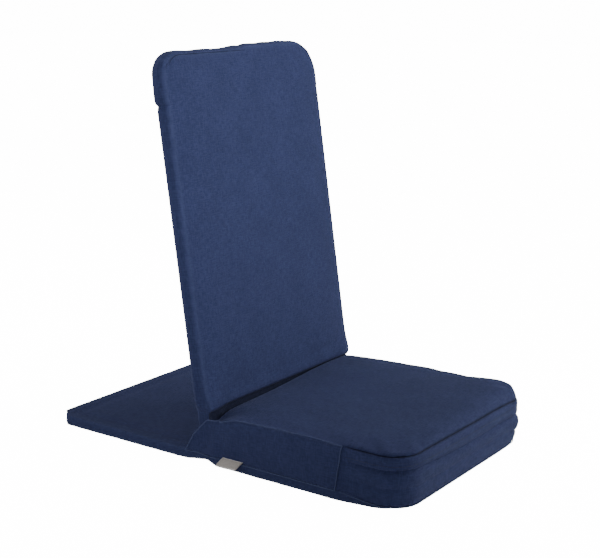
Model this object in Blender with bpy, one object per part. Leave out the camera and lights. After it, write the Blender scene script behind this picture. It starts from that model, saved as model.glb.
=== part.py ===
"""Legless floor chair: a padded backrest on a U frame that plugs into a flat cushioned base.

The base is one flat tube loop with boards in it, inside a canvas case. A foam seat in a zipped
boxed cover is sewn on its front half, and the rear half lies flat behind the backrest so that
the chair can't tip back. Two leaning sockets on the base take the legs of the back's frame.
Metres, +Z up, the sitter faces -Y. The origin is at the middle of the footprint, on the floor.
"""
import math
import bpy
import bmesh
from mathutils import Matrix, Vector

# Overall sizes
WIDTH = 0.380            # across the seat cover
FRONT_LENGTH = 0.3335    # from the origin forward to the seat's front face
REAR_LENGTH = 0.3335     # from the origin back to the base's rear edge
SEAT_HEIGHT = 0.083
BACK_LENGTH = 0.625      # along the lean, from the floor to the back's top edge
RECLINE = math.radians(8.0)
BACK_FOOT_Y = 0.0124     # where the back's middle plane meets the floor

# Cloth, clearances and pads
CLOTH = 0.0012
GAP = 0.0003             # between pieces that touch
BACK_PAD = 0.0035
EDGE_PAD = 0.008         # soft edge above the top of the back's frame
SLOT_GAP = 0.0020        # between the back and the seat's rear wall
SIDE_GAP = 0.0013        # between the back and the side panels that flank its foot
BASE_INSET = 0.0016      # how far the base's edge stands in from the seat cover's sides
FRONT_INSET = 0.0160     # how far the base's edge stands in from the seat's front

# Steel frame
BASE_TUBE = 0.014
LEG_TUBE = 0.012
SOCKET_WALL = 0.0017
SOCKET_FIT = 0.0003
SOCKET_TOP = 0.076       # along the lean
SOCKET_FOOT = 0.0045
SOCKET_FLOOR = 0.005
LEG_CAP = 0.004
LEG_BEND = 0.030
BACK_CROSS_HEIGHT = 0.100

# Corners
FRONT_CORNER = 0.045
REAR_CORNER = 0.014
REAR_BEND = 0.028        # of the base's tube, which turns wider than its cover
BACK_CORNER = 0.035
ARC_STEPS = 6
TUBE_SIDES = 4           # bevel resolution: 12 sides
ROD_SIDES = 20           # turned pieces
SMOOTH_ANGLE = 40        # degrees: sharper edges stay crisp

# Seat cover
SEAM_FROM_FRONT = 0.105  # the upright seam where the zip ends, behind the seat's front
FLAP_TOP = 0.062         # the fold that hides the seat's zip
GUSSET_TOP = 0.072       # where the side panels' tails start to slope down
GUSSET_TAIL = 0.0265     # how far the tails reach behind the back's foot
TAIL_HEIGHT = 0.004      # their height at that end

# Backrest cover
SKIRT_FOOT = 0.0225      # along the lean: lower edge of the cover
PAD_FOOT = 0.080         # along the lean: lower edge of the pads
TOP_STRIP_DROP = 0.072   # how far the zipped top strip runs down each side

# Zips
COIL_HEIGHT = 0.005
COIL_DEPTH = 0.002
TAPE_HEIGHT = 0.020
TAPE_DEPTH = 0.0008
SLIDER_PLATE = 0.0012
SLIDER_LENGTH = 0.010
SLIDER_WALL = 0.0010
SLIDER_PARK = 0.004      # from the end of the straight run

# Woven label
LABEL_WIDTH = 0.038
LABEL_HEIGHT = 0.0135
LABEL_DEPTH = 0.0012
LABEL_FROM_FRONT = 0.2795

# Sizes that follow from those above
HALF = WIDTH / 2
FRONT_Y = -FRONT_LENGTH
REAR_Y = REAR_LENGTH
BASE_HEIGHT = 2 * (CLOTH + GAP) + BASE_TUBE
BASE_HALF = HALF - BASE_INSET
BASE_FRONT = FRONT_Y + FRONT_INSET
BASE_MID = BASE_HEIGHT / 2
TUBE_INSET = CLOTH + GAP + BASE_TUBE / 2
BACK_THICKNESS = 2 * (CLOTH + GAP + BACK_PAD + GAP) + LEG_TUBE
BACK_HALF = HALF - CLOTH - SIDE_GAP
SOCKET_RADIUS = LEG_TUBE / 2 + SOCKET_FIT + SOCKET_WALL
LEG_X = BASE_HALF - TUBE_INSET - BASE_TUBE / 2 - GAP - SOCKET_RADIUS
LEG_FOOT = SOCKET_FOOT + SOCKET_FLOOR + GAP
COIL_INSET = CLOTH + GAP + SLIDER_PLATE + GAP
TAPE_INSET = COIL_INSET + COIL_DEPTH + GAP
FOAM_INSET = TAPE_INSET + TAPE_DEPTH + GAP
SEAM_Y = FRONT_Y + SEAM_FROM_FRONT
ZIP_MID = FLAP_TOP - TAPE_HEIGHT / 2 + COIL_HEIGHT / 2
LEAN = math.tan(RECLINE)
UNDER_TOP = SEAT_HEIGHT - CLOTH - GAP
CLEAR = 0.004            # how far a cutter runs past what it cuts


def slot_front_y(height):
    """The seat's rear wall at one height: it leans with the back, SLOT_GAP in front of it."""
    return BACK_FOOT_Y + height * LEAN - (BACK_THICKNESS / 2 + SLOT_GAP) / math.cos(RECLINE)


def clear_scene():
    for ob in list(bpy.data.objects):
        bpy.data.objects.remove(ob, do_unlink=True)


def finish_colour(name, colour, roughness, metallic=0.0):
    """One plain material for one sub-part."""
    mat = bpy.data.materials.new(name)
    mat.use_nodes = True
    shader = mat.node_tree.nodes["Principled BSDF"]
    shader.inputs["Base Color"].default_value = (*colour, 1.0)
    shader.inputs["Roughness"].default_value = roughness
    shader.inputs["Metallic"].default_value = metallic
    return mat


CANVAS = ((0.018, 0.032, 0.088), 0.9, 0.0)
FOAM = ((0.78, 0.74, 0.60), 0.95, 0.0)
STEEL = ((0.05, 0.05, 0.055), 0.45, 0.8)
BOARD = ((0.20, 0.20, 0.21), 0.85, 0.0)
TAPE = ((0.015, 0.024, 0.060), 0.85, 0.0)
NYLON = ((0.02, 0.03, 0.07), 0.5, 0.0)
ZINC = ((0.35, 0.35, 0.36), 0.35, 1.0)
CAP_PLASTIC = ((0.03, 0.03, 0.03), 0.55, 0.0)
LABEL = ((0.30, 0.30, 0.28), 0.85, 0.0)


def add_mesh(name, bm, look, parent=None, smooth=None):
    """Turn a bmesh into a named object, with its normals out and its own material."""
    bmesh.ops.recalc_face_normals(bm, faces=bm.faces)
    mesh = bpy.data.meshes.new(name)
    bm.to_mesh(mesh)
    bm.free()
    if smooth:
        mesh.shade_smooth()
        mesh.set_sharp_from_angle(angle=math.radians(smooth))
    ob = bpy.data.objects.new(name, mesh)
    ob.data.materials.append(finish_colour(name, *look))
    bpy.context.scene.collection.objects.link(ob)
    ob.parent = parent
    return ob


def arc(cx, cy, radius, start, end, steps=ARC_STEPS):
    """Points of an arc, angles in degrees."""
    turn = [math.radians(start + (end - start) * i / steps) for i in range(steps + 1)]
    return [(cx + radius * math.cos(a), cy + radius * math.sin(a)) for a in turn]


def plan_outline(half, front, rear, front_radius, rear_radius):
    """A rectangle in plan, anticlockwise, with round corners."""
    f, r = front_radius, rear_radius
    points = arc(-half + f, front + f, f, 180, 270)
    points += arc(half - f, front + f, f, 270, 360)
    if r > 0:
        points += arc(half - r, rear - r, r, 0, 90)
        points += arc(-half + r, rear - r, r, 90, 180)
    else:
        points += [(half, rear), (-half, rear)]
    return points


def front_path(inset, end_y):
    """The line around the seat's front, from the right side's end_y to the left side's."""
    r = FRONT_CORNER - inset
    x = HALF - inset
    y = FRONT_Y + inset
    return ([(-x, end_y)] + arc(-x + r, y + r, r, 180, 270)
            + arc(x - r, y + r, r, 270, 360) + [(x, end_y)])


def arch_path(half, top, radius, foot):
    """The line up one side of the back, over its round top corners and down the other."""
    r = radius
    return ([(-half, foot)] + arc(-half + r, top - r, r, 180, 90)
            + arc(half - r, top - r, r, 90, 0) + [(half, foot)])


def prism(points, axis, low, high):
    """A bmesh of a closed outline in the plane across an axis, extruded from low to high."""
    across = "xyz".index(axis)
    bm = bmesh.new()
    corners = []
    for point in points:
        place = list(point)
        place.insert(across, low)
        corners.append(bm.verts.new(place))
    raise_faces(bm, [bm.faces.new(corners)], across, high - low)
    return bm


def raise_faces(bm, faces, across, height):
    """Extrude flat faces along one axis into a closed solid."""
    shift = Vector((0, 0, 0))
    shift[across] = height
    grown = bmesh.ops.extrude_face_region(bm, geom=faces)
    top = [v for v in grown["geom"] if isinstance(v, bmesh.types.BMVert)]
    bmesh.ops.translate(bm, vec=shift, verts=top)


def lean_rear(bm, from_y):
    """Shear the points behind from_y, so that a rear wall leans with the back."""
    for v in bm.verts:
        if v.co.y > from_y:
            v.co.y += v.co.z * LEAN


def ring(outer, inner, low, high):
    """A bmesh of an upright closed band between two outlines with equal numbers of points."""
    bm = bmesh.new()
    loops = []
    for points in (outer, inner):
        verts = [bm.verts.new((x, y, low)) for x, y in points]
        loops.append([bm.edges.new((verts[i - 1], verts[i])) for i in range(len(verts))])
    raise_faces(bm, bmesh.ops.bridge_loops(bm, edges=loops[0] + loops[1])["faces"], 2, high - low)
    return bm


def tube(name, points, diameter, look, parent=None, closed=False):
    """A bent tube: a bevelled curve through the points."""
    curve = bpy.data.curves.new(name, "CURVE")
    curve.dimensions = "3D"
    curve.bevel_depth = diameter / 2
    curve.bevel_resolution = TUBE_SIDES
    curve.use_fill_caps = True
    line = curve.splines.new("POLY")
    line.points.add(len(points) - 1)
    for p, co in zip(line.points, points):
        p.co = (*co, 1.0)
    line.use_cyclic_u = closed
    ob = bpy.data.objects.new(name, curve)
    ob.data.materials.append(finish_colour(name, *look))
    bpy.context.scene.collection.objects.link(ob)
    ob.parent = parent
    return ob


def cylinder(radius, low, high, x=0.0):
    """A bmesh of an upright cylinder at x."""
    bm = bmesh.new()
    bmesh.ops.create_cone(bm, cap_ends=True, segments=ROD_SIDES, radius1=radius, radius2=radius,
                          depth=high - low, matrix=Matrix.Translation((x, 0, (low + high) / 2)))
    return bm


def cut(target, cutter):
    """Take the cutter's shape out of a piece."""
    cutter.hide_render = True
    cutter.display_type = "WIRE"
    mod = target.modifiers.new("cut_" + cutter.name, "BOOLEAN")
    mod.operation = "DIFFERENCE"
    mod.object = cutter


def base_outline(inset):
    return plan_outline(BASE_HALF - inset, BASE_FRONT + inset, REAR_Y - inset,
                        FRONT_CORNER - inset, REAR_CORNER - inset)


def build_base_case(lean):
    """The flat canvas case of the base: floor panel, edge band and top panel."""
    floor_panel = prism(base_outline(0), "z", 0, CLOTH)
    add_mesh("base_bottom_panel", floor_panel, CANVAS)
    band = ring(base_outline(0), base_outline(CLOTH), CLOTH + GAP, BASE_HEIGHT - CLOTH - GAP)
    add_mesh("base_edge_band", band, CANVAS)
    top = add_mesh("base_top_panel", prism(base_outline(0), "z", BASE_HEIGHT - CLOTH, BASE_HEIGHT), CANVAS)
    for side, x in (("right", -LEG_X), ("left", LEG_X)):
        hole = cylinder(SOCKET_RADIUS + GAP, 0, SOCKET_TOP, x)
        cut(top, add_mesh("buttonhole_" + side, hole, CANVAS, lean))


def build_base_frame(lean):
    """The steel loop that the base is built on, its cross tubes, sockets and infill boards."""
    loop = plan_outline(BASE_HALF - TUBE_INSET, BASE_FRONT + TUBE_INSET, REAR_Y - TUBE_INSET,
                        FRONT_CORNER - TUBE_INSET, REAR_BEND)
    tube("base_frame_tube", [(x, y, BASE_MID) for x, y in loop], BASE_TUBE, STEEL, closed=True)
    reach = BASE_HALF - TUBE_INSET - BASE_TUBE / 2 - GAP
    apart = (SOCKET_RADIUS + BASE_TUBE / 2 + GAP) / math.cos(RECLINE)
    mid_y = BACK_FOOT_Y + BASE_MID * LEAN
    for side, y in (("front", mid_y - apart), ("rear", mid_y + apart)):
        tube("base_cross_tube_" + side, [(-reach, y, BASE_MID), (reach, y, BASE_MID)], BASE_TUBE, STEEL)
    for side, x in (("right", -LEG_X), ("left", LEG_X)):
        body = cylinder(SOCKET_RADIUS, SOCKET_FOOT, SOCKET_TOP, x)
        socket = add_mesh("socket_" + side, body, STEEL, lean, SMOOTH_ANGLE)
        bore = cylinder(LEG_TUBE / 2 + SOCKET_FIT, SOCKET_FOOT + SOCKET_FLOOR, SOCKET_TOP + CLEAR, x)
        cut(socket, add_mesh("socket_bore_" + side, bore, STEEL, lean))
    inset = TUBE_INSET + BASE_TUBE / 2 + GAP
    low, high = CLOTH + GAP, CLOTH + GAP + BASE_TUBE
    board_front = plan_outline(BASE_HALF - inset, BASE_FRONT + inset, mid_y - apart - BASE_TUBE / 2 - GAP,
                               FRONT_CORNER - inset, 0)
    add_mesh("base_board_front", prism(board_front, "z", low, high), BOARD)
    rear_radius = REAR_BEND - BASE_TUBE / 2 - GAP
    near = mid_y + apart + BASE_TUBE / 2 + GAP
    turn_x, turn_y = BASE_HALF - inset - rear_radius, REAR_Y - inset - rear_radius
    board_rear = ([(-BASE_HALF + inset, near), (BASE_HALF - inset, near)]
                  + arc(turn_x, turn_y, rear_radius, 0, 90) + arc(-turn_x, turn_y, rear_radius, 90, 180))
    add_mesh("base_board_rear", prism(board_rear, "z", low, high), BOARD)


def build_seat_foam():
    """The foam block, with its rear wall leaning beside the back."""
    low, high = BASE_HEIGHT + GAP, UNDER_TOP
    rear = slot_front_y(0) - (CLOTH + GAP) / math.cos(RECLINE)
    outline = plan_outline(HALF - FOAM_INSET, FRONT_Y + FOAM_INSET, rear, FRONT_CORNER - FOAM_INSET, 0)
    bm = prism(outline, "z", low, high)
    lean_rear(bm, rear - GAP)
    add_mesh("seat_foam", bm, FOAM)


def build_seat_cover():
    """The boxed cover: top, rear wall, side panels with their tails, and the two front strips."""
    rear = slot_front_y(0)
    top = prism(plan_outline(HALF, FRONT_Y, rear, FRONT_CORNER, 0), "z", SEAT_HEIGHT - CLOTH, SEAT_HEIGHT)
    lean_rear(top, rear - GAP)
    add_mesh("seat_top_panel", top, CANVAS)
    low = BASE_HEIGHT + GAP
    skin = CLOTH / math.cos(RECLINE)
    inner = HALF - CLOTH - GAP
    wall = prism([(slot_front_y(low) - skin, low), (slot_front_y(low), low),
                  (slot_front_y(UNDER_TOP), UNDER_TOP), (slot_front_y(UNDER_TOP) - skin, UNDER_TOP)],
                 "x", -inner, inner)
    add_mesh("seat_rear_panel", wall, CANVAS)
    tail = BACK_FOOT_Y + low * LEAN + BACK_THICKNESS / 2 / math.cos(RECLINE) + GUSSET_TAIL
    side = [(SEAM_Y + GAP / 2, low), (tail, low), (tail, low + TAIL_HEIGHT),
            (slot_front_y(GUSSET_TOP), GUSSET_TOP), (slot_front_y(UNDER_TOP), UNDER_TOP),
            (SEAM_Y + GAP / 2, UNDER_TOP)]
    add_mesh("seat_side_panel_right", prism(side, "x", -HALF, -HALF + CLOTH), CANVAS)
    add_mesh("seat_side_panel_left", prism(side, "x", HALF - CLOTH, HALF), CANVAS)
    add_mesh("seat_lower_strip", front_band(0, CLOTH, low, FLAP_TOP), CANVAS)
    add_mesh("seat_upper_strip", front_band(0, CLOTH, FLAP_TOP + GAP, UNDER_TOP), CANVAS)


def front_band(inset, depth, low, high):
    """A bmesh of a strip wrapped around the seat's front."""
    end = SEAM_Y - GAP / 2
    outline = front_path(inset, end) + front_path(inset + depth, end)[::-1]
    return prism(outline, "z", low, high)


def build_seat_zip():
    """The zip behind the seat's flap, with its slider parked at the right-hand seam."""
    tape_low = ZIP_MID - TAPE_HEIGHT / 2
    add_mesh("seat_zip_tape", front_band(TAPE_INSET, TAPE_DEPTH, tape_low, tape_low + TAPE_HEIGHT), TAPE)
    coil_low = ZIP_MID - COIL_HEIGHT / 2
    add_mesh("seat_zip_coil", front_band(COIL_INSET, COIL_DEPTH, coil_low, coil_low + COIL_HEIGHT), NYLON)
    start = SEAM_Y - GAP / 2 - SLIDER_PARK - SLIDER_LENGTH
    seat = Matrix.Translation((-HALF + CLOTH + GAP, start, ZIP_MID))
    bm = slider_shape()
    bmesh.ops.transform(bm, verts=bm.verts, matrix=seat @ Matrix.Rotation(math.pi / 2, 4, "Z"))
    add_mesh("seat_zip_slider", bm, ZINC)


def slider_shape():
    """A saddle over a zip's coil: it runs along +X from 0, its outer face at y = 0, inwards to -Y."""
    half_in = COIL_HEIGHT / 2 + GAP
    half_out = half_in + SLIDER_WALL
    depth = SLIDER_PLATE + GAP + COIL_DEPTH
    saddle = [(0, -half_out), (-depth, -half_out), (-depth, -half_in), (-SLIDER_PLATE, -half_in),
              (-SLIDER_PLATE, half_in), (-depth, half_in), (-depth, half_out), (0, half_out)]
    return prism(saddle, "x", 0, SLIDER_LENGTH)


def build_label():
    """A blank woven tab sewn into the seam under the right side panel."""
    y = FRONT_Y + LABEL_FROM_FRONT
    low = BASE_HEIGHT - LABEL_HEIGHT
    x = -BASE_HALF - GAP
    tab = prism([(y, low), (y + LABEL_WIDTH, low), (y + LABEL_WIDTH, BASE_HEIGHT), (y, BASE_HEIGHT)],
                "x", x - LABEL_DEPTH, x)
    add_mesh("woven_label", tab, LABEL)


def build_back_frame(lean):
    """The U tube, its cross tube, and the caps on its two legs."""
    top = BACK_LENGTH - FOAM_INSET - EDGE_PAD - GAP - LEG_TUBE / 2
    line = arch_path(LEG_X, top, LEG_BEND, LEG_FOOT + LEG_CAP + GAP)
    tube("back_frame_tube", [(x, 0, s) for x, s in line], LEG_TUBE, STEEL, lean)
    reach = LEG_X - LEG_TUBE / 2 - GAP
    cross = [(-reach, 0, BACK_CROSS_HEIGHT), (reach, 0, BACK_CROSS_HEIGHT)]
    tube("back_cross_tube", cross, LEG_TUBE, STEEL, lean)
    for side, x in (("right", -LEG_X), ("left", LEG_X)):
        cap = cylinder(LEG_TUBE / 2, LEG_FOOT, LEG_FOOT + LEG_CAP, x)
        add_mesh("leg_cap_" + side, cap, CAP_PLASTIC, lean, SMOOTH_ANGLE)
    return top


def build_back_pads(lean, tube_top):
    """The board in the frame, the soft edge around it and the pads in front and behind."""
    half = LEG_X - LEG_TUBE / 2 - GAP
    bend = LEG_BEND - LEG_TUBE / 2 - GAP
    core = arch_path(half, tube_top - LEG_TUBE / 2 - GAP, bend, BACK_CROSS_HEIGHT + LEG_TUBE / 2 + GAP)
    add_mesh("back_core", prism(core[::-1], "y", -LEG_TUBE / 2, LEG_TUBE / 2), BOARD, lean)
    half, top, corner = (size - FOAM_INSET for size in (BACK_HALF, BACK_LENGTH, BACK_CORNER))
    outside = arch_path(half, top, corner, PAD_FOOT)
    grow = LEG_TUBE / 2 + GAP
    inside = arch_path(LEG_X + grow, tube_top + grow, LEG_BEND + grow, PAD_FOOT)
    add_mesh("back_edge_pad", prism(outside + inside[::-1], "y", -LEG_TUBE / 2, LEG_TUBE / 2), FOAM, lean)
    near = LEG_TUBE / 2 + GAP
    add_mesh("back_pad_front", prism(outside, "y", -near - BACK_PAD, -near), FOAM, lean)
    add_mesh("back_pad_rear", prism(outside, "y", near, near + BACK_PAD), FOAM, lean)


def build_back_cover(lean):
    """Front and rear panels, the two side strips and the split, zipped strip over the top."""
    face = arch_path(BACK_HALF, BACK_LENGTH, BACK_CORNER, SKIRT_FOOT)
    skin = BACK_THICKNESS / 2
    add_mesh("back_panel_front", prism(face, "y", -skin, -skin + CLOTH), CANVAS, lean)
    add_mesh("back_panel_rear", prism(face, "y", skin - CLOTH, skin), CANVAS, lean)
    between = skin - CLOTH - GAP
    strip_foot = BACK_LENGTH - TOP_STRIP_DROP
    for side, x in (("right", -BACK_HALF), ("left", BACK_HALF - CLOTH)):
        far, top = x + CLOTH, strip_foot - GAP
        strip = [(x, SKIRT_FOOT), (far, SKIRT_FOOT), (far, top), (x, top)]
        add_mesh("back_side_strip_" + side, prism(strip, "y", -between, between), CANVAS, lean)
    for side, y0, y1 in (("front", -between, -GAP / 2), ("rear", GAP / 2, between)):
        add_mesh("back_top_strip_" + side, back_band(0, CLOTH, y0, y1, strip_foot), CANVAS, lean)


def back_band(inset, depth, low, high, foot):
    """A bmesh of a strip wrapped over the back's top."""
    outer = arch_path(BACK_HALF - inset, BACK_LENGTH - inset, BACK_CORNER - inset, foot)
    deeper = inset + depth
    inner = arch_path(BACK_HALF - deeper, BACK_LENGTH - deeper, BACK_CORNER - deeper, foot)
    return prism(outer + inner[::-1], "y", low, high)


def build_back_zip(lean):
    """The zip under the top strip. Its slider runs along the straight top, from the right corner."""
    foot = BACK_LENGTH - TOP_STRIP_DROP
    tape = BACK_THICKNESS / 2 - CLOTH - GAP
    add_mesh("back_zip_tape", back_band(TAPE_INSET, TAPE_DEPTH, -tape, tape, foot), TAPE, lean)
    coil = COIL_HEIGHT / 2
    add_mesh("back_zip_coil", back_band(COIL_INSET, COIL_DEPTH, -coil, coil, foot), NYLON, lean)
    start = -BACK_HALF + BACK_CORNER + SLIDER_PARK
    seat = Matrix.Translation((start, 0, BACK_LENGTH - CLOTH - GAP))
    bm = slider_shape()
    bmesh.ops.transform(bm, verts=bm.verts, matrix=seat @ Matrix.Rotation(math.pi / 2, 4, "X"))
    add_mesh("back_zip_slider", bm, ZINC, lean)


def main():
    clear_scene()
    lean = bpy.data.objects.new("back_lean", None)
    bpy.context.scene.collection.objects.link(lean)
    lean.location = (0, BACK_FOOT_Y, 0)
    lean.rotation_euler = (-RECLINE, 0, 0)
    build_base_case(lean)
    build_base_frame(lean)
    build_seat_foam()
    build_seat_cover()
    build_seat_zip()
    build_label()
    tube_top = build_back_frame(lean)
    build_back_pads(lean, tube_top)
    build_back_cover(lean)
    build_back_zip(lean)


main()
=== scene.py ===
import bpy, bmesh, math
import numpy as np
from mathutils import Matrix, Vector, noise
from mathutils.bvhtree import BVHTree


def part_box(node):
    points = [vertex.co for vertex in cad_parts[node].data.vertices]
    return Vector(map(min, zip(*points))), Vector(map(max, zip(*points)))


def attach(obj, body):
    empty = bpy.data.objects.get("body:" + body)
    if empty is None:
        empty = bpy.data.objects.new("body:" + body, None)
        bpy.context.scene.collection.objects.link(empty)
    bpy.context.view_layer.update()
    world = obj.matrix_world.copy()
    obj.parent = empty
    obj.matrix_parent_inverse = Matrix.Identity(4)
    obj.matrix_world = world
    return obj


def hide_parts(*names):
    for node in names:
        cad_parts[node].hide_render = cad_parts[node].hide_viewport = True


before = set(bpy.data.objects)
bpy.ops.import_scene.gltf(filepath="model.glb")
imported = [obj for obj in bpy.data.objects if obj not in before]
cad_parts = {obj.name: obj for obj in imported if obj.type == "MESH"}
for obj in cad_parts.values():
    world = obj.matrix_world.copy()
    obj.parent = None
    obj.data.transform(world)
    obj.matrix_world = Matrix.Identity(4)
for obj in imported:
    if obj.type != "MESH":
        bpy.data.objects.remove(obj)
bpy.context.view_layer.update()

# --- Studio: a pale floor under soft light, with the camera in front of the chair on the sitter's
# right. Narrow lights reach the back's top, the seat's front and the right side, two wide ones the rest.
LOOK_AT = Vector((0.2394, 0.1501, 0.190))
CAMERA_AZIMUTH, CAMERA_ELEVATION = math.radians(-54.34), math.radians(13.31)
CAMERA_DISTANCE, LENS = 2.3123, 75.91
camera = bpy.data.objects.new("camera", bpy.data.cameras.new("camera"))
camera.data.lens = LENS
camera.data.sensor_width = 36
camera.rotation_euler = (math.pi / 2 - CAMERA_ELEVATION, 0, CAMERA_AZIMUTH)
camera.location = LOOK_AT + camera.rotation_euler.to_matrix() @ Vector((0, 0, CAMERA_DISTANCE))
bpy.context.scene.collection.objects.link(camera)
bpy.context.scene.camera = camera


def shader_of(name, roughness=0.8, metallic=0.0, sheen=0.0):
    """A new material, with its nodes, its links and its Principled shader."""
    mat = bpy.data.materials.new(name)
    mat.use_nodes = True
    shader = mat.node_tree.nodes["Principled BSDF"]
    shader.inputs["Roughness"].default_value = roughness
    shader.inputs["Metallic"].default_value = metallic
    shader.inputs["Sheen Weight"].default_value = sheen
    return mat, mat.node_tree.nodes, mat.node_tree.links, shader


def keep(name, bm, mat):
    """Store a bmesh as a piece with its place in its mesh."""
    mesh = bpy.data.meshes.new(name)
    bm.to_mesh(mesh)
    bm.free()
    mesh.materials.append(mat)
    piece = bpy.data.objects.new(name, mesh)
    bpy.context.scene.collection.objects.link(piece)
    return piece


bm = bmesh.new()
bmesh.ops.create_grid(bm, x_segments=1, y_segments=1, size=12)
FLOOR_BOUNCE, FLOOR_GLOW, SKY, SKY_SEEN = 0.15, 15.0, 0.23, 15.0
floor_mat, nodes, links, shader = shader_of("studio_floor", 0.9)
shader.inputs["Base Color"].default_value = (0.93, 0.93, 0.93, 1)
shader.inputs["Emission Color"].default_value = (1, 1, 1, 1)
seen = nodes.new("ShaderNodeLightPath")
glow = nodes.new("ShaderNodeMapRange")
glow.inputs["To Min"].default_value = FLOOR_BOUNCE
glow.inputs["To Max"].default_value = FLOOR_GLOW
links.new(seen.outputs["Is Camera Ray"], glow.inputs["Value"])
links.new(glow.outputs["Result"], shader.inputs["Emission Strength"])
keep("studio_floor", bm, floor_mat)
world = bpy.data.worlds.new("studio")
world.use_nodes = True
nodes, links = world.node_tree.nodes, world.node_tree.links
seen = nodes.new("ShaderNodeLightPath")
level = nodes.new("ShaderNodeMapRange")
level.inputs["To Min"].default_value = SKY
level.inputs["To Max"].default_value = SKY_SEEN
links.new(seen.outputs["Is Camera Ray"], level.inputs["Value"])
links.new(level.outputs["Result"], nodes["Background"].inputs["Strength"])
nodes["Background"].inputs["Color"].default_value = (1, 1, 1, 1)
bpy.context.scene.world = world
for name, spot, aim, size, power, spread in (
        ("key", (1.0, -1.9, 1.15), (0.05, 0.0, 0.88), 1.0, 6.2, 50),
        ("front", (1.2, -0.9, 0.8), (0.17, -0.34, 0.05), 0.5, 1.1, 42),
        ("side", (-1.4, -0.5, 0.9), (-0.19, 0.05, 0.45), 0.6, 0.90, 38),
        ("top", (0.9, -0.6, 2.8), (0, 0, 0.2), 1.6, 10, 180),
        ("rear", (-0.5, 1.9, 1.4), (0, 0.2, 0.1), 1.2, 21, 180)):
    light = bpy.data.objects.new(name, bpy.data.lights.new(name, "AREA"))
    light.data.size = size
    light.data.energy = power
    light.data.spread = math.radians(spread)
    light.location = spot
    light.rotation_euler = (Vector(aim) - Vector(spot)).to_track_quat("-Z", "Y").to_euler()
    bpy.context.scene.collection.objects.link(light)

# --- Base frame: a loop of 14 mm steel tube with two cross tubes and two leaning sockets welded
# between them, all powder-coated black. The back's U frame is the same tube stock in 12 mm.
steel, nodes, links, shader = shader_of("black_powder_coat", 0.42)
coat = nodes.new("ShaderNodeTexNoise")
coat.inputs["Scale"].default_value = 900
coat.inputs["Detail"].default_value = 3
where = nodes.new("ShaderNodeTexCoord")
links.new(where.outputs["Object"], coat.inputs["Vector"])
tone = nodes.new("ShaderNodeValToRGB")
tone.color_ramp.elements[0].color = (0.010, 0.010, 0.011, 1)
tone.color_ramp.elements[1].color = (0.030, 0.030, 0.032, 1)
links.new(coat.outputs["Fac"], tone.inputs["Fac"])
links.new(tone.outputs["Color"], shader.inputs["Base Color"])
peel = nodes.new("ShaderNodeBump")
peel.inputs["Strength"].default_value = 0.25
peel.inputs["Distance"].default_value = 0.0003
links.new(coat.outputs["Fac"], peel.inputs["Height"])
links.new(peel.outputs["Normal"], shader.inputs["Normal"])


def finish_nodes(mat, *names):
    """Give CAD nodes their material."""
    for name in names:
        slots = bpy.data.objects[name].data.materials
        slots.clear()
        slots.append(mat)


finish_nodes(steel, "base_frame_tube", "base_cross_tube_front", "base_cross_tube_rear",
             "socket_left", "socket_right", "back_frame_tube", "back_cross_tube")

# --- Boards: grey closed-cell board lies inside the base's tube loop and fills the back's frame.
# It is a speckle of fine cells in two tones, lightly pitted.
board, nodes, links, shader = shader_of("grey_foam_board", 0.95)
where = nodes.new("ShaderNodeTexCoord")
cells = nodes.new("ShaderNodeTexVoronoi")
cells.inputs["Scale"].default_value = 700
links.new(where.outputs["Object"], cells.inputs["Vector"])
tone = nodes.new("ShaderNodeValToRGB")
tone.color_ramp.elements[0].color = (0.07, 0.07, 0.08, 1)
tone.color_ramp.elements[1].color = (0.13, 0.13, 0.14, 1)
tone.color_ramp.elements[1].position = 0.6
links.new(cells.outputs["Distance"], tone.inputs["Fac"])
links.new(tone.outputs["Color"], shader.inputs["Base Color"])
pits = nodes.new("ShaderNodeBump")
pits.inputs["Strength"].default_value = 0.6
pits.inputs["Distance"].default_value = 0.0004
links.new(cells.outputs["Distance"], pits.inputs["Height"])
links.new(pits.outputs["Normal"], shader.inputs["Normal"])
finish_nodes(board, "base_board_front", "base_board_rear", "back_core")

# --- Small hard pieces: the zips' nylon coils and plated zinc sliders, and the plastic caps pushed
# on to the ends of the back's legs.


def speckled(name, colour, roughness, metallic=0.0):
    """Moulded or cast: one colour with fine mottling and a faint bump."""
    mat, nodes, links, shader = shader_of(name, roughness, metallic)
    where = nodes.new("ShaderNodeTexCoord")
    grain = nodes.new("ShaderNodeTexNoise")
    grain.inputs["Scale"].default_value = 600
    links.new(where.outputs["Object"], grain.inputs["Vector"])
    tone = nodes.new("ShaderNodeMix")
    tone.data_type = "RGBA"
    tone.inputs["A"].default_value = (*[c * 0.75 for c in colour], 1)
    tone.inputs["B"].default_value = (*[c * 1.25 for c in colour], 1)
    links.new(grain.outputs["Fac"], tone.inputs["Factor"])
    links.new(tone.outputs["Result"], shader.inputs["Base Color"])
    relief = nodes.new("ShaderNodeBump")
    relief.inputs["Strength"].default_value = 0.15
    relief.inputs["Distance"].default_value = 0.0002
    links.new(grain.outputs["Fac"], relief.inputs["Height"])
    links.new(relief.outputs["Normal"], shader.inputs["Normal"])
    return mat


finish_nodes(speckled("navy_nylon", (0.010, 0.015, 0.040), 0.45), "seat_zip_coil", "back_zip_coil")
finish_nodes(speckled("plated_zinc", (0.42, 0.42, 0.43), 0.32, 1.0), "seat_zip_slider", "back_zip_slider")
finish_nodes(speckled("leg_cap_plastic", (0.02, 0.02, 0.02), 0.5), "leg_cap_left", "leg_cap_right")

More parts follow.
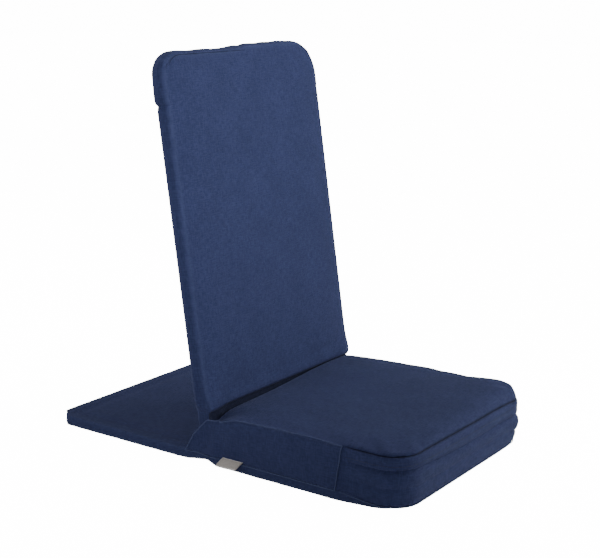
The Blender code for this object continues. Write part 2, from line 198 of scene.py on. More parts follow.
# --- Canvas: plain-woven navy cotton. Threads are about a millimetre apart, some are thicker than
# the rest. Seams are painted a little paler, partly as worn cloth and partly as a painted highlight, and
# tight creases near black as painted shade.
CANVAS_DARK, CANVAS_LIGHT = (0.0112, 0.0170, 0.0540), (0.0335, 0.0435, 0.1220)
# Paler seam colour: partly worn cloth, partly a painted highlight where a seam catches light.
CANVAS_WORN_AND_LIT = (0.066, 0.086, 0.185)
# Painted shade: a tight crease is coloured with this share of the dark tone.
CREASE_SHADE_SHARE = 0.25      # of the dark tone, left in a tight crease
THREAD = 0.0010


def weave_group():
    """Plain weave in a cloth's own map in metres: thread height, slubs and slow mottling."""
    group = bpy.data.node_groups.new("plain_weave", "ShaderNodeTree")
    group.interface.new_socket("Map", in_out="INPUT", socket_type="NodeSocketVector")
    group.interface.new_socket("Pitch", in_out="INPUT", socket_type="NodeSocketFloat")
    for name in ("Thread", "Slub", "Mottle"):
        group.interface.new_socket(name, in_out="OUTPUT", socket_type="NodeSocketFloat")
    nodes, links = group.nodes, group.links
    inside = nodes.new("NodeGroupInput")
    outside = nodes.new("NodeGroupOutput")

    def maths(kind, first, second=None):
        node = nodes.new("ShaderNodeMath")
        node.operation = kind
        for socket, value in zip(node.inputs, (first, second)):
            if isinstance(value, bpy.types.NodeSocket):
                links.new(value, socket)
            elif value is not None:
                socket.default_value = value
        return node.outputs[0]

    def streaks(across, along, detail):
        stretch = nodes.new("ShaderNodeVectorMath")
        stretch.operation = "MULTIPLY"
        stretch.inputs[1].default_value = (across, along, 1)
        links.new(inside.outputs["Map"], stretch.inputs[0])
        cloud = nodes.new("ShaderNodeTexNoise")
        cloud.inputs["Scale"].default_value = 1
        cloud.inputs["Detail"].default_value = detail
        links.new(stretch.outputs[0], cloud.inputs["Vector"])
        return cloud.outputs["Fac"]

    split = nodes.new("ShaderNodeSeparateXYZ")
    links.new(inside.outputs["Map"], split.inputs[0])
    counts = [maths("DIVIDE", split.outputs[i], inside.outputs["Pitch"]) for i in (0, 1)]
    warp, weft = [maths("ABSOLUTE", maths("SINE", maths("MULTIPLY", c, math.pi))) for c in counts]
    parity = maths("MODULO", maths("ADD", maths("FLOOR", counts[0]), maths("FLOOR", counts[1])), 2.0)
    over = maths("ABSOLUTE", parity)
    under = maths("SUBTRACT", 1.0, over)
    thread = maths("ADD", maths("MULTIPLY", warp, over), maths("MULTIPLY", weft, under))
    links.new(thread, outside.inputs["Thread"])
    slub = maths("MULTIPLY", maths("ADD", streaks(520, 90, 3), streaks(100, 520, 3)), 0.5)
    links.new(slub, outside.inputs["Slub"])
    links.new(streaks(22, 14, 4), outside.inputs["Mottle"])
    return group


plain_weave = weave_group()


def woven(name, dark, light, relief=0.00016):
    """Cloth in the weave: two tones by thread, slub and mottling. A float on the mesh's points makes it
    paler above 0, as worn cloth with a painted highlight on a seam, and near black below 0, as painted
    shade in a tight crease."""
    mat, nodes, links, shader = shader_of(name, 0.88, sheen=0.05)
    shader.inputs["Sheen Roughness"].default_value = 0.45
    shader.inputs["Sheen Tint"].default_value = (0.55, 0.66, 1.0, 1)
    shader.inputs["Specular IOR Level"].default_value = 0.15
    flat = nodes.new("ShaderNodeUVMap")
    flat.uv_map = "cloth"
    weave = nodes.new("ShaderNodeGroup")
    weave.node_tree = plain_weave
    weave.inputs["Pitch"].default_value = THREAD
    links.new(flat.outputs["UV"], weave.inputs["Map"])

    def blend(factor, first, second, kind="MIX"):
        node = nodes.new("ShaderNodeMix")
        node.data_type = "RGBA"
        node.blend_type = kind
        for socket, value in (("Factor", factor), ("A", first), ("B", second)):
            if isinstance(value, bpy.types.NodeSocket):
                links.new(value, node.inputs[socket])
            elif isinstance(value, tuple):
                node.inputs[socket].default_value = (*value, 1)
            else:
                node.inputs[socket].default_value = value
        return node.outputs["Result"]

    def spread(source, low, high, to_low, to_high):
        node = nodes.new("ShaderNodeMapRange")
        ends = {"From Min": low, "From Max": high, "To Min": to_low, "To Max": to_high}
        for socket, value in ends.items():
            node.inputs[socket].default_value = value
        links.new(source, node.inputs["Value"])
        return node.outputs["Result"]

    threads = blend(spread(weave.outputs["Thread"], 0, 1, 0.20, 0.70), dark, light)
    slubby = blend(spread(weave.outputs["Slub"], 0.40, 0.60, 0.0, 0.90), threads, light)
    mottled = blend(spread(weave.outputs["Mottle"], 0.3, 0.7, 0.0, 0.24), slubby, dark)
    seam = nodes.new("ShaderNodeAttribute")
    seam.attribute_name = "wear"
    # Above 0 the cloth turns paler: worn cloth and a painted highlight.
    worn_and_lit = blend(spread(seam.outputs["Fac"], 0, 1, 0.0, 0.65), mottled, CANVAS_WORN_AND_LIT)
    # Below 0 it turns near black: painted shade in creases and under the back's pad.
    shade = tuple(c * CREASE_SHADE_SHARE for c in dark)
    crease_shaded = blend(spread(seam.outputs["Fac"], -1, 0, 0.9, 0.0), worn_and_lit, shade)
    links.new(crease_shaded, shader.inputs["Base Color"])
    links.new(spread(weave.outputs["Slub"], 0.3, 0.7, 0.94, 0.80), shader.inputs["Roughness"])
    height = nodes.new("ShaderNodeMath")
    height.operation = "MULTIPLY_ADD"
    links.new(weave.outputs["Slub"], height.inputs[0])
    height.inputs[1].default_value = 1.6
    links.new(weave.outputs["Thread"], height.inputs[2])
    bump = nodes.new("ShaderNodeBump")
    bump.inputs["Strength"].default_value = 0.7
    bump.inputs["Distance"].default_value = relief
    links.new(height.outputs[0], bump.inputs["Height"])
    links.new(bump.outputs["Normal"], shader.inputs["Normal"])
    return mat


canvas = woven("navy_canvas", CANVAS_DARK, CANVAS_LIGHT)
zip_cloth = woven("zip_tape_cloth", (0.006, 0.010, 0.028), (0.012, 0.020, 0.050), 0.0001)
finish_nodes(zip_cloth, "seat_zip_tape", "back_zip_tape")

# --- Base case: the flat canvas case of the base, pulled tight over the tube loop and the boards.
# It is a box with sewn edges. Its front is tucked in under the seat cover, its edge lifts off the
# floor beside the back's foot, and its rear half shows behind the back.
CELL = 0.006             # of the cloth before its one subdivision
SEAM_ROW = 0.0016        # the narrow row of cells beside every seam
ON_EDGE = 1e-5           # a point nearer than this to an edge lies on it
SWELL_STEPS = 20
base_low, base_high = (Vector(c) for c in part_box("base_bottom_panel"))
base_high.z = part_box("base_top_panel")[1][2]
FRONT_RADIUS, REAR_RADIUS = 0.045, 0.018


def block(low, high, levels=None):
    """A closed block of cloth cells, mapped flat panel by panel, with a narrow row beside each edge.
    levels sets an axis's own rows."""
    rows = []
    for a in range(3):
        cells = max(1, round((high[a] - low[a] - 2 * SEAM_ROW) / CELL))
        inner = np.linspace(low[a] + SEAM_ROW, high[a] - SEAM_ROW, cells + 1)
        rows.append(levels[a] if levels and a in levels else [low[a], *inner, high[a]])
    counts = [len(r) - 1 for r in rows]
    bm = bmesh.new()
    bmesh.ops.create_cube(bm, size=1)
    for axis in range(3):
        along = [e for e in bm.edges if abs((e.verts[0].co - e.verts[1].co)[axis]) > 0.5]
        bmesh.ops.subdivide_edges(bm, edges=along, cuts=counts[axis] - 1, use_grid_fill=True)
    bmesh.ops.translate(bm, verts=bm.verts, vec=(0.5, 0.5, 0.5))
    for v in bm.verts:
        for axis in range(3):
            v.co[axis] = float(np.interp(v.co[axis] * counts[axis], range(counts[axis] + 1), rows[axis]))
    flat = bm.loops.layers.uv.new("cloth")
    wear = bm.verts.layers.float.new("wear")
    seam = bm.verts.layers.float.new("seam")
    bm.normal_update()
    for face in bm.faces:
        facing = max(range(3), key=lambda a: abs(face.normal[a]))
        across, along = [a for a in range(3) if a != facing]
        for corner in face.loops:
            corner[flat].uv = (corner.vert.co[across], corner.vert.co[along])
    for v in bm.verts:
        inset = sorted(min(v.co[a] - low[a], high[a] - v.co[a]) for a in range(3))[1]
        # Paler cloth along every edge: partly worn cloth, partly a painted highlight.
        v[wear] = 0.35 * math.exp(-(inset / 0.0018) ** 2)
        v[seam] = 1.0 if inset < ON_EDGE else 0.0
    return bm


def round_corners(bm, low, high, radius, axes=(0, 1)):
    """Turn a block's corners in one plane. radius maps the two sides' signs to each corner's."""
    middle = (low + high) / 2
    for v in bm.verts:
        away = [v.co[a] - middle[a] for a in axes]
        signs = tuple(1 if d > 0 else -1 for d in away)
        r = radius(*signs)
        past = [abs(d) - ((high[a] - low[a]) / 2 - r) for d, a in zip(away, axes)]
        if min(past) <= 0:
            continue
        u, w = (p / r for p in past)
        turned = (u * math.sqrt(1 - w * w / 2), w * math.sqrt(1 - u * u / 2))
        for a, sign, share, p in zip(axes, signs, turned, past):
            v.co[a] += sign * (share * r - p)


def bell(distance, width):
    return math.exp(-(distance / width) ** 2)


def smooth(share):
    share = max(0.0, min(1.0, share))
    return share * share * (3 - 2 * share)


def near_front(y):
    """0 along most of a side, growing to 1 over the last part before the front."""
    return smooth((-0.215 - y) / 0.075)


def ripple(co, size, amount, seed):
    """Slow unevenness, as cloth lies over foam."""
    return amount * noise.noise(Vector(co) / size + Vector((seed, seed * 1.7, 0)))


def swell(piece, pressure, cap):
    """Blow the cloth out with the solver. The mesh's own "held" says how firmly each point is kept,
    from 0 to 1, and no point moves further than cap."""
    count = len(piece.data.vertices)
    start = np.empty(count * 3)
    piece.data.vertices.foreach_get("co", start)
    held = piece.vertex_groups.new(name="held")
    for v, kept in zip(piece.data.vertices, piece.data.attributes["held"].data):
        held.add([v.index], kept.value, "REPLACE")
    cloth = piece.modifiers.new("swell", "CLOTH")
    rules = cloth.settings
    rules.quality = 6
    rules.mass = 0.3
    rules.tension_stiffness = rules.compression_stiffness = 12
    rules.shear_stiffness = 4
    rules.bending_stiffness = 0.6
    rules.vertex_group_mass = "held"
    rules.use_pressure = True
    rules.uniform_pressure_force = pressure
    rules.effector_weights.gravity = 0
    cloth.point_cache.frame_start = 1
    cloth.point_cache.frame_end = SWELL_STEPS
    for step in range(1, SWELL_STEPS + 1):
        bpy.context.scene.frame_set(step)
    blown = piece.evaluated_get(bpy.context.evaluated_depsgraph_get())
    end = np.empty(count * 3)
    blown.data.vertices.foreach_get("co", end)
    piece.modifiers.remove(cloth)
    piece.vertex_groups.clear()
    bpy.context.scene.frame_set(1)
    move = (end - start).reshape(-1, 3)
    length = np.linalg.norm(move, axis=1, keepdims=True) + 1e-12
    move *= cap * np.tanh(length / cap) / length
    piece.data.vertices.foreach_set("co", start + move.ravel())
    piece.data.update()


def subdivide(piece):
    """One smooth subdivision with the seams kept crisp, applied, and smooth shading."""
    seam = piece.data.attributes["seam"].data
    crease = piece.data.attributes.new("crease_edge", "FLOAT", "EDGE")
    crease.data.foreach_set("value", [min(seam[v].value for v in e.vertices) for e in piece.data.edges])
    finer = piece.modifiers.new("finer", "SUBSURF")
    finer.levels = finer.render_levels = 1
    done = bpy.data.meshes.new_from_object(piece.evaluated_get(bpy.context.evaluated_depsgraph_get()))
    piece.modifiers.clear()
    piece.data = done
    done.shade_smooth()
    done.name = piece.name


BASE_BULGE, LIFT, LIFT_Y = 0.0036, 0.0064, 0.016
bm = block(base_low, base_high)
held = bm.verts.layers.float.new("held")
round_corners(bm, base_low, base_high, lambda x, y: FRONT_RADIUS if y < 0 else REAR_RADIUS)
TAIL_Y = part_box("seat_side_panel_right")[1][1]
for v in bm.verts:
    co = v.co.copy()
    on_top = (co.z - base_low.z) / (base_high.z - base_low.z)
    corner = Vector((math.copysign(max(0, FRONT_RADIUS - base_high.x + abs(co.x)), co.x),
                     -max(0, FRONT_RADIUS - co.y + base_low.y), 0))
    tuck = near_front(co.y) * smooth(1 - (FRONT_RADIUS - corner.length) / 0.0070)
    side_edge, rear_edge = base_high.x - abs(co.x), base_high.y - co.y
    edge = min(side_edge, rear_edge)
    seam = edge < 0.0005 and (on_top < 0.001 or on_top > 0.999)
    v[held] = 1.0 if co.y < TAIL_Y - 0.02 or on_top < 0.1 or (seam and on_top > 0.5) else 0.2
    if co.y > TAIL_Y - 0.03:
        v.co.z += on_top * ripple(co, 0.05, 0.0014, 3) * min(1, edge / 0.02)
        v.co.z -= on_top * 0.0016 * bell(edge - 0.021, 0.007)
        v.co.z -= on_top * 0.0020 * bell(side_edge, 0.004) * bell(co.y - TAIL_Y, 0.05)
    outward = Vector((math.copysign(bell(side_edge, 0.003), co.x), bell(rear_edge, 0.003), 0))
    if co.y > -0.28 and outward.length > 0.3:
        puff = BASE_BULGE * (0.8 + 0.3 * math.sin(math.pi * on_top)) + ripple(co, 0.02, 0.0006, 5)
        puff *= smooth((co.y + 0.28) / 0.06)
        puff += 0.0012 * math.sin(260 * co.y) * bell(co.y - 0.035, 0.028)
        v.co += outward.normalized() * (puff - (0.0005 if seam and on_top > 0.5 else 0))
    v.co.z -= 0.0004 if seam and on_top > 0.5 else 0
    pinch = bell(side_edge, 0.014) * bell(rear_edge, 0.014)
    v.co -= Vector((math.copysign(0.0016, co.x), 0.0016, 0)) * pinch * (2 * on_top - 1) ** 2
    lift = LIFT * bell(co.y - LIFT_Y, 0.030 if co.y > LIFT_Y else 0.011) * bell(side_edge, 0.02)
    v.co.z += lift * (1 - on_top) - 0.0096 * tuck * on_top
    if corner.length > 0:
        v.co += corner.normalized() * tuck * (-0.0050 + 0.0040 * on_top)
base_case = keep("base_case", bm, canvas)
swell(base_case, pressure=2.0, cap=0.0016)
subdivide(base_case)
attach(base_case, "base")
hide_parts("base_bottom_panel", "base_edge_band", "base_top_panel")

# --- Seat cover: a boxed canvas cover over the foam block. The top is crowned, its corners dip, and
# a lapped zip runs round the front in a fold of the boxing, from seam to seam.
seat_low, seat_high = (Vector(c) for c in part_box("seat_top_panel"))
HALF = seat_high.x
SEAT_FOOT = base_high.z + 0.0004
SLOT_FOOT_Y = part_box("seat_rear_panel")[0][1] + 0.0012
RECLINE = math.radians(8)
LEAN = math.tan(RECLINE)
SEAT_REAR_RADIUS = 0.006
LAP_FOLD, LAP_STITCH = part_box("seat_lower_strip")[1][2], 0.0370
SEAM_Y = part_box("seat_lower_strip")[1][1]
rows = [SEAT_FOOT, SEAT_FOOT + SEAM_ROW,
        *np.linspace(SEAT_FOOT + 0.0060, LAP_STITCH - 0.0020, 3), LAP_STITCH,
        *np.linspace(LAP_STITCH + 0.0035, LAP_FOLD - 0.0050, 4), LAP_FOLD - 0.0008, LAP_FOLD + 0.0010,
        *np.linspace(LAP_FOLD + 0.0055, seat_high.z - 0.0060, 3), seat_high.z - SEAM_ROW, seat_high.z]
seat_box_low = Vector((seat_low.x, seat_low.y, SEAT_FOOT))
seat_box_high = Vector((seat_high.x, SLOT_FOOT_Y, seat_high.z))
bm = block(seat_box_low, seat_box_high, {2: rows})
held = bm.verts.layers.float.new("held")


def top_dip(x, y):
    """How far the top seam lies under its highest line."""
    rear = (0.0108 if x < 0 else 0.0008) * bell(HALF - abs(x), 0.030) * bell(y - SLOT_FOOT_Y, 0.030)
    front = 0.0060 * bell(HALF - x, 0.060) + 0.0022 * smooth((x + 0.19) / 0.25)
    rise = 0.0016 * bell(y + 0.165, 0.08) + 0.0036 * smooth(x / 0.1) * bell(y + 0.16, 0.12)
    return rear + front * bell(y - seat_low.y, 0.06) - rise


flat = bm.loops.layers.uv.active
wear, seam = bm.verts.layers.float["wear"], bm.verts.layers.float["seam"]
bm.normal_update()
for face in bm.faces:
    if abs(face.normal.z) < 0.5 and face.calc_center_median().y < SLOT_FOOT_Y - 0.002:
        for corner in face.loops:
            along, up = corner[flat].uv
            if abs(face.normal.y) > 0.9:
                corner[flat].uv = (seat_low.y - along - HALF, up)
            elif face.normal.x > 0:
                corner[flat].uv = (2 * (seat_low.y - HALF) - along, up)
round_corners(bm, seat_box_low, seat_box_high, lambda x, y: FRONT_RADIUS if y < 0 else SEAT_REAR_RADIUS)
for v in bm.verts:
    co = v.co.copy()
    high = (co.z - SEAT_FOOT) / (seat_high.z - SEAT_FOOT)
    v[wear] = v[wear] if co.y > SEAM_Y and not 0.03 < high < 0.97 else 0.0
    v[seam] = v[seam] if high < ON_EDGE or high > 1 - ON_EDGE else 0.0
    side_edge, front_edge, rear_edge = HALF - abs(co.x), co.y - seat_low.y, SLOT_FOOT_Y - co.y
    outward = Vector((math.copysign(max(0, FRONT_RADIUS - side_edge), co.x),
                      -max(0, FRONT_RADIUS - front_edge), 0))
    rim = FRONT_RADIUS - outward.length
    if outward.length > 0:
        outward.normalize()
    near, far = [bell(HALF - side * co.x, 0.05) * bell(front_edge, 0.05) for side in (-1, 1)]
    forward = smooth((SEAM_Y - co.y) / 0.020)
    fold, stitch = bell(co.z - LAP_FOLD + 0.0008, 0.0012), bell(co.z - LAP_STITCH, 0.0012)
    v[held] = 1.0 if high < 0.01 or rear_edge < 0.001 else 0.0
    if rim < 0.0005:
        top_seam = high > 0.999
        v[held] = 1.0 if top_seam or (forward > 0.5 and fold + stitch > 0.5) else v[held]
        band = bell(co.z - (LAP_FOLD + LAP_STITCH) / 2, 0.0085)
        push = forward * (band * (0.0016 + 0.0024 * far) - fold * (0.0030 + 0.0024 * (near + far))
                          - stitch * (0.0016 + 0.0024 * far + 0.0010 * near))
        push += forward * 0.0010 * bell(co.z - LAP_FOLD - 0.0010, 0.0008)
        push -= 0.0010 + 0.0030 * forward if top_seam else 0
        # Painted shade: the top seam's groove across the front is coloured near black.
        v[wear] = -forward if top_seam else v[wear]
        v[seam] = max(v[seam], 0.9 * forward * (fold > 0.9))
        drop = near_front(co.y)
        push -= drop * (0.0032 + 0.0036 * far) * (1 - high) ** 6
        v.co += outward * push
        sag = smooth((co.x + 0.17) / 0.12) + 0.15 * math.sin(23 * co.x + 1)
        v.co.z += forward * float(np.interp(co.z, (SEAT_FOOT, LAP_STITCH, LAP_FOLD, seat_high.z),
                                            (0, -0.0105 * far - 0.001 * sag, -0.0060 * sag, 0)))
        seam_drop = 0.0008 + 0.0012 * forward if top_seam else 0
        v.co.z -= (0.0036 + drop * 0.0070) * (1 - high) ** 3 + seam_drop
    inner = smooth(rim / 0.008) if high > 0.999 else 0.0
    v.co.z -= high * top_dip(co.x, co.y) * (1 - inner * smooth((-0.06 - co.y) / 0.06))
    roll = 0.25 + 0.75 * smooth(0.5 - co.x / 0.30)
    v.co.z -= high ** 4 * 0.0056 * roll * bell(rear_edge, 0.011)
    v.co.z += inner * (0.0048 * bell(front_edge - 0.055, 0.09) + 0.0032 * smooth(0.3 + co.x / 0.2))
    v.co.z += inner * 0.0052 * bell(HALF - co.x, 0.06) * bell(front_edge - 0.02, 0.07)
    v.co.y += (v.co.z - SEAT_FOOT) * LEAN * max(0.0, min(1.0, 1 - rear_edge / 0.06))
    v.co.y -= 0.0030 * roll * high * bell(rear_edge, 0.02)
seat_cover = keep("seat_cover", bm, canvas)
swell(seat_cover, pressure=3.0, cap=0.0070)
subdivide(seat_cover)
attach(seat_cover, "base")
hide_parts("seat_top_panel", "seat_rear_panel", "seat_upper_strip", "seat_lower_strip",
            "seat_foam")

# --- Side panels: one piece of canvas on each side, from the zip's end back to a sloping tail that
# flanks the foot of the back. They are sewn on over the cover's sides, and the tails hang free.
TAIL_TOP = ((-0.0020, 0.0735), (0.0125, 0.0728), (0.0409, 0.0433), (0.0528, 0.0210), (0.0560, 0.0165))
PANEL_THICK, PANEL_FOOT = 0.0012, 0.0138
wall = BVHTree.FromObject(seat_cover, bpy.context.evaluated_depsgraph_get())


def surface(y, z, side):
    """How far out the cover's side wall stands at a place."""
    hit = wall.ray_cast(Vector((side * 0.3, min(y, -0.004), z)), Vector((-side, 0, 0)))[0]
    return abs(hit.x) if hit else HALF


def side_top(y, side):
    """The height of a side panel's upper edge."""
    if y > TAIL_TOP[0][0]:
        return float(np.interp(y, *zip(*TAIL_TOP)))
    seam = seat_high.z - 0.0004 - top_dip(side * HALF, min(y, SLOT_FOOT_Y))
    return seam + (TAIL_TOP[0][1] - seam) * smooth((y + 0.022) / 0.020)


def seam_front(up):
    """Where the seam at the zip's end runs, leaning forward as it rises."""
    return SEAM_Y + 0.0085 - 0.0110 * up


def side_panel(name, side):
    """A grid draped on the cover's side wall and carried on past it as the tail, and its own edges."""
    edges = {"top": [], "foot": [], "zip_end": []}
    bm = bmesh.new()
    bmesh.ops.create_grid(bm, x_segments=96, y_segments=24, size=0.5)
    flat = bm.loops.layers.uv.new("cloth")
    wear = bm.verts.layers.float.new("wear")
    end = TAIL_TOP[-1][0]
    for v in bm.verts:
        along, up = v.co.x + 0.5, v.co.y + 0.5
        y = seam_front(up) + along * (end - seam_front(up))
        low = PANEL_FOOT + 0.0015 * smooth((y - 0.005) / 0.03)
        tall = side_top(y, side) - low
        z = low + up * tall
        past = smooth((y + 0.016) / 0.016)
        reach = (1 - past) * (surface(y, z, side) + PANEL_THICK + 0.0001) + past * (HALF + 0.0030)
        slope = math.sin(120 * (y + 0.75 * z) - 1.0)
        folds = 0.0016 * slope * bell(y - 0.018, 0.026) * bell(z - 0.045, 0.03)
        folds += 0.0012 * math.sin(210 * (y * 0.35 + z)) * bell(y - 0.040, 0.02)
        reach += folds + ripple((y, z, side), 0.022, 0.0009, 11) * min(1, up * 4)
        # Paler cloth along the panel's top and foot: partly worn cloth, partly a painted highlight.
        v[wear] = max(bell(up * tall, 0.0016), bell((1 - up) * tall, 0.0016))
        v.co = (side * reach, y, z)
        for edge, on_it in (("top", up > 0.999), ("foot", up < 0.001), ("zip_end", along < 0.001)):
            if on_it:
                edges[edge].append(v.co + Vector((side * 0.0007, 0, 0)))
    for face in bm.faces:
        for corner in face.loops:
            corner[flat].uv = corner.vert.co.yz
    bm.normal_update()
    if sum(f.normal.x * side for f in bm.faces) < 0:
        bmesh.ops.reverse_faces(bm, faces=bm.faces)
    panel = keep(name, bm, canvas)
    panel.data.shade_smooth()
    thick = panel.modifiers.new("thickness", "SOLIDIFY")
    thick.thickness = PANEL_THICK
    thick.offset = -1
    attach(panel, "base")
    edges["top"].sort(key=lambda co: co.y)
    edges["foot"].sort(key=lambda co: co.y)
    edges["zip_end"].sort(key=lambda co: co.z)
    return panel, edges


panel_edges = {}
for name, side in (("right", -1), ("left", 1)):
    panel, panel_edges[name] = side_panel("side_panel_" + name, side)
    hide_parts("seat_side_panel_" + name)

# --- Back cover: a slim canvas sleeve over the back's frame and pads. Its foot is open and hangs
# round the sockets, a zipped strip closes the top and ends a hand's breadth down each side.
BACK_FOOT_Y = 0.0124
lean = Matrix.Translation((0, BACK_FOOT_Y, 0)) @ Matrix.Rotation(-RECLINE, 4, "X")
BACK_HALF, BACK_SKIN, BACK_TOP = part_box("back_panel_front")[1][0], 0.0113, 0.625
SKIRT_FOOT, PAD_FOOT, STRIP_FOOT = 0.0225, 0.0810, BACK_TOP - 0.072
SOCKET_X = sum(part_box("socket_left")[i][0] for i in (0, 1)) / 2
BACK_RADIUS_RIGHT, BACK_RADIUS_LEFT, FOOT_RADIUS = 0.030, 0.054, 0.001
SKIRT_THICK = 0.0012
back_low = Vector((-BACK_HALF, -BACK_SKIN, SKIRT_FOOT))
back_high = Vector((BACK_HALF, BACK_SKIN, BACK_TOP))
heights = [*np.linspace(SKIRT_FOOT + SEAM_ROW, PAD_FOOT - 0.005, 9), PAD_FOOT - 0.001, PAD_FOOT + 0.002,
           PAD_FOOT + 0.005, *np.linspace(PAD_FOOT + 0.010, STRIP_FOOT - 0.006, 76),
           STRIP_FOOT - 0.003, STRIP_FOOT - 0.0010, STRIP_FOOT + 0.0010, STRIP_FOOT + 0.003,
           *np.linspace(STRIP_FOOT + 0.007, BACK_TOP - SEAM_ROW, 12)]
bm = block(back_low, back_high, {1: [-BACK_SKIN, SEAM_ROW - BACK_SKIN, -0.0055, -0.0007, 0.0013, 0.0060,
                                     BACK_SKIN - SEAM_ROW, BACK_SKIN], 2: [SKIRT_FOOT, *heights, BACK_TOP]})
foot = [f for f in bm.faces if f.normal.z < -0.9]
bmesh.ops.inset_region(bm, faces=foot, thickness=SKIRT_THICK)
pocket = bmesh.ops.extrude_face_region(bm, geom=foot)  # a thin skin stays across the foot
bmesh.ops.translate(bm, vec=(0, 0, PAD_FOOT - SKIRT_FOOT - 0.004),
                    verts=[g for g in pocket["geom"] if isinstance(g, bmesh.types.BMVert)])
held = bm.verts.layers.float.new("held")
wear = bm.verts.layers.float["wear"]


def back_radius(x, z):
    """A corner's radius on the back: the left one turns wider, and the foot is nearly square."""
    if z < 0:
        return FOOT_RADIUS
    return BACK_RADIUS_LEFT if x > 0 else BACK_RADIUS_RIGHT


round_corners(bm, back_low, back_high, back_radius, axes=(0, 2))
for v in bm.verts:
    co = v.co.copy()
    rise = max(0.0, (co.z - SKIRT_FOOT) / (BACK_TOP - SKIRT_FOOT))
    side_edge, top_edge = BACK_HALF - abs(co.x), BACK_TOP - co.z
    radius = back_radius(co.x, 1)
    outward = Vector((math.copysign(max(0, radius - side_edge), co.x), 0, max(0, radius - top_edge)))
    rim = radius - outward.length
    if outward.length > 0:
        outward.normalize()
    above = smooth((co.z - PAD_FOOT + 0.004) / 0.02)
    seam = abs(co.y) > BACK_SKIN - ON_EDGE and rim < 0.0005
    v[held] = 1.0 if seam else smooth((PAD_FOOT + 0.040 - co.z) / 0.035)
    v.co.z += rise ** 6 * (0.0052 / (1 + math.exp(-(co.x + 0.005) / 0.012)) - 0.0070)
    v.co.z += rise ** 8 * ripple((co.x, 0, 0), 0.03, 0.0014, 9)
    v.co.z += rise ** 8 * 0.0014 * bell(co.x + BACK_HALF - 0.035, 0.02)
    strip = 1 / (1 + math.exp(-(co.z - STRIP_FOOT) / 0.0018))
    if rim < 0.002 and above > 0:
        lap = strip * (0.0010 * bell(co.y + 0.0007, 0.0006) - 0.0018 * bell(co.y - 0.0013, 0.0006))
        round_out = math.sqrt(max(0.0, 1 - (co.y / BACK_SKIN) ** 2))
        puff = (0.0064 if co.x < 0 else 0.0044) * round_out + strip * 0.0006
        puff -= 0.0014 if seam and (co.x < 0 or co.y > 0) else 0
        puff += 0.0020 + 0.0056 * (1 - rise) if co.x > 0 else 0.0024 * (co.y > 0)
        puff -= (0.0042 if co.x < 0 else 0.0010) * bell(co.z - STRIP_FOOT + 0.003, 0.003)
        puff += 0.0016 * bell(co.z - STRIP_FOOT - 0.012, 0.018) if co.x < 0 else 0
        v.co += outward * above * (puff + lap)
    if co.y < 0:
        v.co.y += above * 0.0022 * bell(rim, 0.006)
        lip = smooth((co.z - PAD_FOOT - 0.0010 + 0.0030 * bell(co.x + BACK_HALF, 0.03)) / 0.0045)
        free = 1 - 0.6 * bell(abs(co.x) - SOCKET_X, 0.015)
        under = 0.0050 * free * (1 - lip) * smooth((co.z - 0.048) / 0.022)
        under *= bell(max(0, abs(co.x) - 0.184), 0.004)
        v.co.y += (under - 0.0040 * lip * bell(co.z - PAD_FOOT - 0.010, 0.022)) * -co.y / BACK_SKIN
        # Painted shade: the skirt's front is coloured near black just under the pad's lip, where shade
        # falls.
        if co.y < ON_EDGE - BACK_SKIN:  # the skirt's front is darkened just under the pad
            v[wear] = max(0.0, v[wear]) * lip - 0.9 * (1 - lip) * smooth((co.z - 0.058) / 0.012)
    else:
        v.co.y += above * (0.0016 + 0.0016 * strip) * (1 if rim < 0.03 else 0.5)
back_cover = keep("back_cover", bm, canvas)
swell(back_cover, pressure=2.5, cap=0.0035)
back_cover.data.transform(lean)
subdivide(back_cover)
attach(back_cover, "backrest")
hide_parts("back_panel_front", "back_panel_rear", "back_side_strip_left",
            "back_side_strip_right", "back_top_strip_front", "back_top_strip_rear", "back_pad_front",
            "back_pad_rear", "back_edge_pad")

# --- Seams: each cover is sewn inside out and turned, and the turnings push up a thin ridge of
# cloth along most edges. The zip's lap is stitched down in navy thread.
thread = speckled("navy_thread", (0.010, 0.018, 0.054), 0.7)


def chain(points):
    """Points of one seam in order, from the one furthest back, right and low. It ends at a gap."""
    left = [Vector(p) for p in points]
    line = [left.pop(max(range(len(left)), key=lambda i: left[i].y - 2 * left[i].x - 3 * left[i].z))]
    while left:
        near = min(range(len(left)), key=lambda i: (left[i] - line[-1]).length_squared)
        if (left[near] - line[-1]).length > 0.03:
            break
        line.append(left.pop(near))
    return line


def seam_of(piece, test):
    """The ordered points of a piece's own seams where test holds."""
    marks = piece.data.attributes["seam"].data
    return chain([v.co for v, mark in zip(piece.data.vertices, marks) if mark.value > 0.999 and test(v.co)])


def ridge(name, line, radius, body):
    """A thin roll of doubled canvas along a line."""
    curve = bpy.data.curves.new(name, "CURVE")
    curve.dimensions = "3D"
    curve.bevel_depth = radius
    curve.bevel_resolution = 1
    curve.use_fill_caps = True
    spline = curve.splines.new("POLY")
    spline.points.add(len(line) - 1)
    for point, co in zip(spline.points, line):
        point.co = (*co, 1)
    drawn = bpy.data.objects.new(name, curve)
    mesh = bpy.data.meshes.new_from_object(drawn)
    bpy.data.objects.remove(drawn)
    mesh.name = name
    mesh.materials.clear()
    mesh.materials.append(canvas)
    mesh.shade_smooth()
    flat = mesh.uv_layers.new(name="cloth")
    for corner, place in zip(mesh.loops, flat.data):
        co = mesh.vertices[corner.vertex_index].co
        place.uv = (co.x + co.y, co.z)
    # The ridge is coloured paler all over: partly worn cloth, partly a painted highlight.
    wear = mesh.attributes.new("wear", "FLOAT", "POINT")
    wear.data.foreach_set("value", [1.0] * len(mesh.vertices))
    piece = bpy.data.objects.new(name, mesh)
    bpy.context.scene.collection.objects.link(piece)
    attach(piece, body)


def outward_of(co):
    """The level direction out of the seat at a place near its rim."""
    out = Vector((math.copysign(max(0.0001, FRONT_RADIUS - HALF + abs(co.x)), co.x),
                  -max(0.0, FRONT_RADIUS - co.y + seat_low.y), 0))
    return out.normalized()


